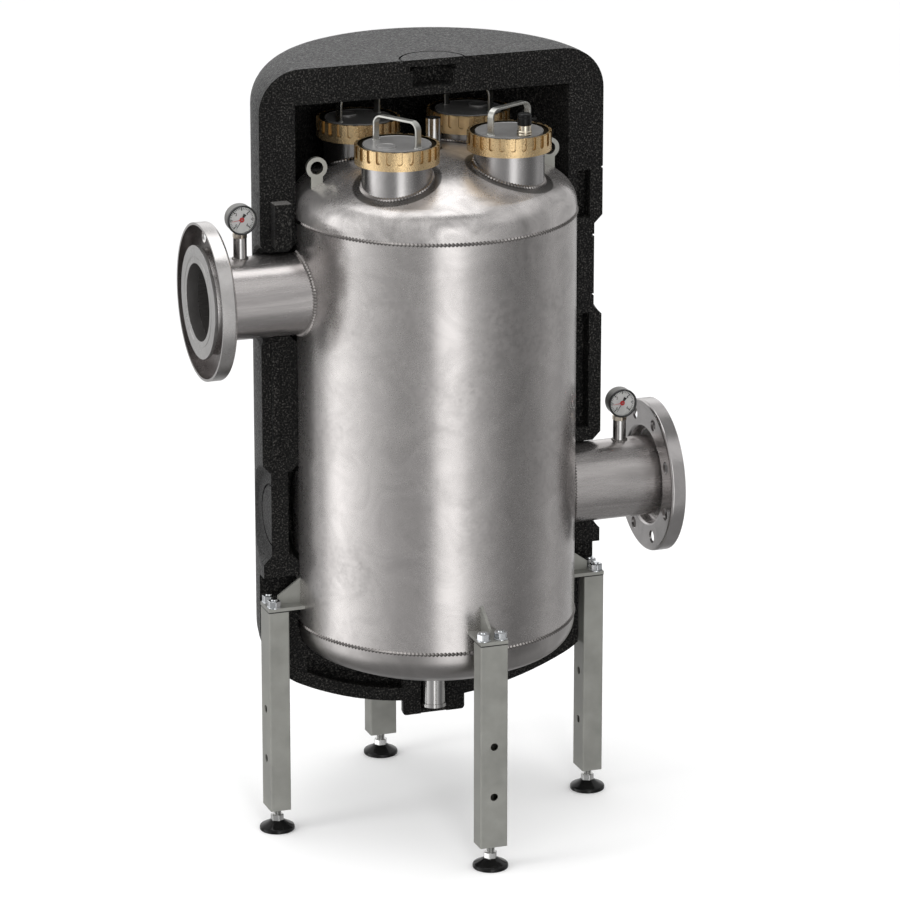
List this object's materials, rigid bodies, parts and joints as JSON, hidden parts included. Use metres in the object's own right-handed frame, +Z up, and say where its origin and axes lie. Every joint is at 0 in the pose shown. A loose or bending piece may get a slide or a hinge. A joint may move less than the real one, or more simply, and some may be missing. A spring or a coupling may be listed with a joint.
{
  "type": "magnetic filter",
  "caption": "Upright stainless steel vessel on levelling legs with flanged inlet and outlet, lidded magnet rods, gauges and half of a foam insulation shell.",
  "frame": {"origin": "on the floor, under the vessel's axis", "axes": "+X towards the outlet, with the inlet at -X, +Y towards the insulation half at the rear, +Z up"},
  "size_m": [0.686, 0.5242, 1.1055],
  "materials": {
    "vessel_steel": "satin",
    "weld_steel": "matte",
    "flange_steel": "satin",
    "lid_steel": "satin",
    "handle_steel": "satin",
    "nut_brass": "satin",
    "gasket_rubber": "matte",
    "magnet_steel": "satin",
    "vent_nickel": "polished",
    "vent_plastic": "satin",
    "leg_steel": "satin",
    "bolt_zinc": "polished",
    "foot_plastic": "gloss",
    "spindle_zinc": "polished",
    "gauge_black": "satin",
    "gauge_brass": "satin",
    "dial_white": "matte",
    "gauge_glass": "polished",
    "pointer_black": "matte",
    "pointer_red": "matte",
    "foam": "matte"
  },
  "bodies": {
    "vessel": {"vessel_barrel": "vessel_steel", "top_head": "vessel_steel", "bottom_head": "vessel_steel", "weld_beads": "weld_steel", "lid_necks": "vessel_steel", "lid_gaskets": "gasket_rubber", "centre_port": "vessel_steel", "lifting_eyes": "vessel_steel", "drain_port": "vessel_steel", "inlet_pipe": "vessel_steel", "outlet_pipe": "vessel_steel", "pipe_collars": "flange_steel", "inlet_baffle": "vessel_steel", "gauge_stubs": "vessel_steel", "gauge_unions": "gauge_brass", "gauge_cases": "gauge_black", "gauge_bezels": "gauge_black", "gauge_dials": "dial_white", "gauge_lenses": "gauge_glass", "leg_brackets": "leg_steel", "legs": "leg_steel", "leg_bolts": "bolt_zinc"},
    "lid_and_rod_front_left": {"lid_front_left": "lid_steel", "handle_front_left": "handle_steel", "rod_sleeve_front_left": "vessel_steel", "magnets_front_left": "magnet_steel"},
    "ring_nut_front_left": {"ring_nut_front_left": "nut_brass"},
    "lid_and_rod_front_right": {"lid_front_right": "lid_steel", "handle_front_right": "handle_steel", "rod_sleeve_front_right": "vessel_steel", "magnets_front_right": "magnet_steel", "vent_body": "vent_nickel"},
    "ring_nut_front_right": {"ring_nut_front_right": "nut_brass"},
    "lid_and_rod_rear_left": {"lid_rear_left": "lid_steel", "handle_rear_left": "handle_steel", "rod_sleeve_rear_left": "vessel_steel", "magnets_rear_left": "magnet_steel"},
    "ring_nut_rear_left": {"ring_nut_rear_left": "nut_brass"},
    "lid_and_rod_rear_right": {"lid_rear_right": "lid_steel", "handle_rear_right": "handle_steel", "rod_sleeve_rear_right": "vessel_steel", "magnets_rear_right": "magnet_steel"},
    "ring_nut_rear_right": {"ring_nut_rear_right": "nut_brass"},
    "vent_cap": {"vent_cap": "vent_plastic"},
    "insulation": {"insulation_shell": "foam"},
    "inlet_flange": {"inlet_flange": "flange_steel"},
    "pointer_inlet": {"pointer_inlet": "pointer_black"},
    "set_pointer_inlet": {"set_pointer_inlet": "pointer_red"},
    "outlet_flange": {"outlet_flange": "flange_steel"},
    "pointer_outlet": {"pointer_outlet": "pointer_black"},
    "set_pointer_outlet": {"set_pointer_outlet": "pointer_red"},
    "foot_left": {"foot_pad_left": "foot_plastic", "foot_spindle_left": "spindle_zinc"},
    "foot_front": {"foot_pad_front": "foot_plastic", "foot_spindle_front": "spindle_zinc"},
    "foot_right": {"foot_pad_right": "foot_plastic", "foot_spindle_right": "spindle_zinc"},
    "foot_rear": {"foot_pad_rear": "foot_plastic", "foot_spindle_rear": "spindle_zinc"}
  },
  "joints": [
    {"name": "lift_front_left", "type": "slide", "parent": "vessel", "child": "lid_and_rod_front_left", "axis": [0, 0, 1], "range_m": [0, 0.6]},
    {"name": "nut_turn_front_left", "type": "hinge", "parent": "lid_and_rod_front_left", "child": "ring_nut_front_left", "pos_m": [-0.0815, -0.0825, 0.999], "axis": [0, 0, 1], "continuous": true},
    {"name": "lift_front_right", "type": "slide", "parent": "vessel", "child": "lid_and_rod_front_right", "axis": [0, 0, 1], "range_m": [0, 0.6]},
    {"name": "nut_turn_front_right", "type": "hinge", "parent": "lid_and_rod_front_right", "child": "ring_nut_front_right", "pos_m": [0.0815, -0.0825, 1.0045], "axis": [0, 0, 1], "continuous": true},
    {"name": "lift_rear_left", "type": "slide", "parent": "vessel", "child": "lid_and_rod_rear_left", "axis": [0, 0, 1], "range_m": [0, 0.007]},
    {"name": "nut_turn_rear_left", "type": "hinge", "parent": "lid_and_rod_rear_left", "child": "ring_nut_rear_left", "pos_m": [-0.0815, 0.0825, 0.999], "axis": [0, 0, 1], "continuous": true},
    {"name": "lift_rear_right", "type": "slide", "parent": "vessel", "child": "lid_and_rod_rear_right", "axis": [0, 0, 1], "range_m": [0, 0.007]},
    {"name": "nut_turn_rear_right", "type": "hinge", "parent": "lid_and_rod_rear_right", "child": "ring_nut_rear_right", "pos_m": [0.0815, 0.0825, 0.999], "axis": [0, 0, 1], "continuous": true},
    {"name": "vent_cap_turn", "type": "hinge", "parent": "lid_and_rod_front_right", "child": "vent_cap", "pos_m": [0.0908, -0.11697, 1.0373], "axis": [0, 0, 1], "continuous": true},
    {"name": "shell_slide", "type": "slide", "parent": "vessel", "child": "insulation", "axis": [0, 1, 0], "range_m": [0, 0.16]},
    {"name": "inlet_flange_turn", "type": "hinge", "parent": "vessel", "child": "inlet_flange", "pos_m": [-0.33, 0, 0.7896], "axis": [-1, 0, 0], "continuous": true},
    {"name": "pointer_turn_inlet", "type": "hinge", "parent": "vessel", "child": "pointer_inlet", "pos_m": [-0.2815, -0.0105, 0.9036], "axis": [0, 1, 0], "range_deg": [0, 270]},
    {"name": "set_pointer_turn_inlet", "type": "hinge", "parent": "vessel", "child": "set_pointer_inlet", "pos_m": [-0.2815, -0.0105, 0.9036], "axis": [0, 1, 0], "range_deg": [-52, 218]},
    {"name": "outlet_flange_turn", "type": "hinge", "parent": "vessel", "child": "outlet_flange", "pos_m": [0.33, 0, 0.4704], "axis": [1, 0, 0], "continuous": true},
    {"name": "pointer_turn_outlet", "type": "hinge", "parent": "vessel", "child": "pointer_outlet", "pos_m": [0.2815, -0.0105, 0.5844], "axis": [0, 1, 0], "range_deg": [0, 270]},
    {"name": "set_pointer_turn_outlet", "type": "hinge", "parent": "vessel", "child": "set_pointer_outlet", "pos_m": [0.2815, -0.0105, 0.5844], "axis": [0, 1, 0], "range_deg": [-52, 218]},
    {"name": "foot_level_left", "type": "slide", "parent": "vessel", "child": "foot_left", "axis": [0, 0, 1], "range_m": [-0.01, 0.01]},
    {"name": "foot_level_front", "type": "slide", "parent": "vessel", "child": "foot_front", "axis": [0, 0, 1], "range_m": [-0.01, 0.01]},
    {"name": "foot_level_right", "type": "slide", "parent": "vessel", "child": "foot_right", "axis": [0, 0, 1], "range_m": [-0.01, 0.01]},
    {"name": "foot_level_rear", "type": "slide", "parent": "vessel", "child": "foot_rear", "axis": [0, 0, 1], "range_m": [-0.01, 0.01]}
  ]
}
